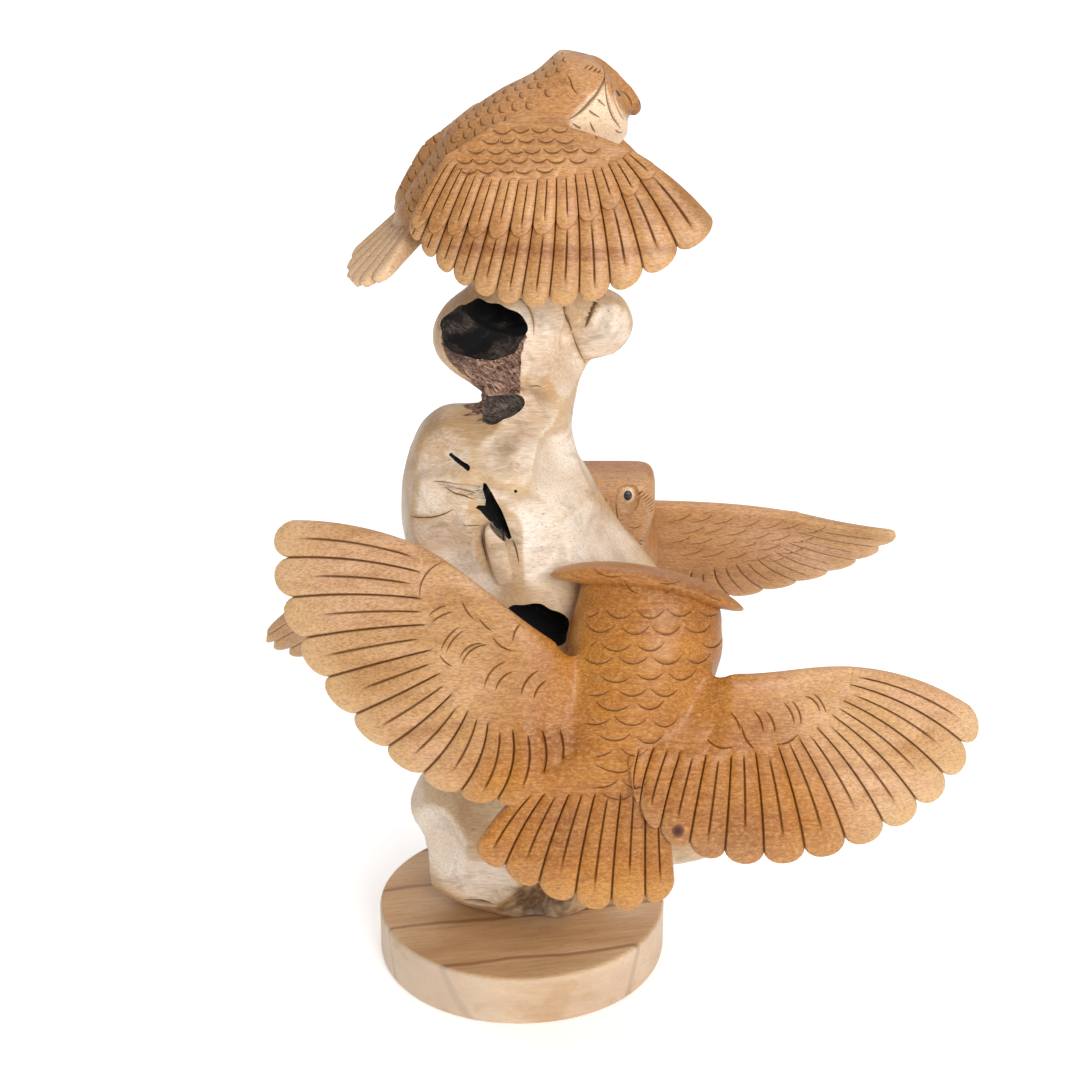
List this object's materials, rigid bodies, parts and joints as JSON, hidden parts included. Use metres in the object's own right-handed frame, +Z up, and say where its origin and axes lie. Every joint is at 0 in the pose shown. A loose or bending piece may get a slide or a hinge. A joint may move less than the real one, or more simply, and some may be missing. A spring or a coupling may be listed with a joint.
{
  "type": "owl wood carving",
  "caption": "Carved group of owls with spread wings clinging to a gnarled pale root, one perched on its crown, standing on a round wooden plinth.",
  "frame": {"origin": "centre of the plinth's underside", "axes": "+Z up, +X to the viewer's right when facing the front, +Y away from the viewer"},
  "size_m": [0.3708, 0.236, 0.4947],
  "materials": {
    "carved_wood": "satin",
    "plinth_wood": "satin"
  },
  "bodies": {
    "root": {"owl_carving": "carved_wood", "plinth": "plinth_wood"}
  },
  "joints": []
}
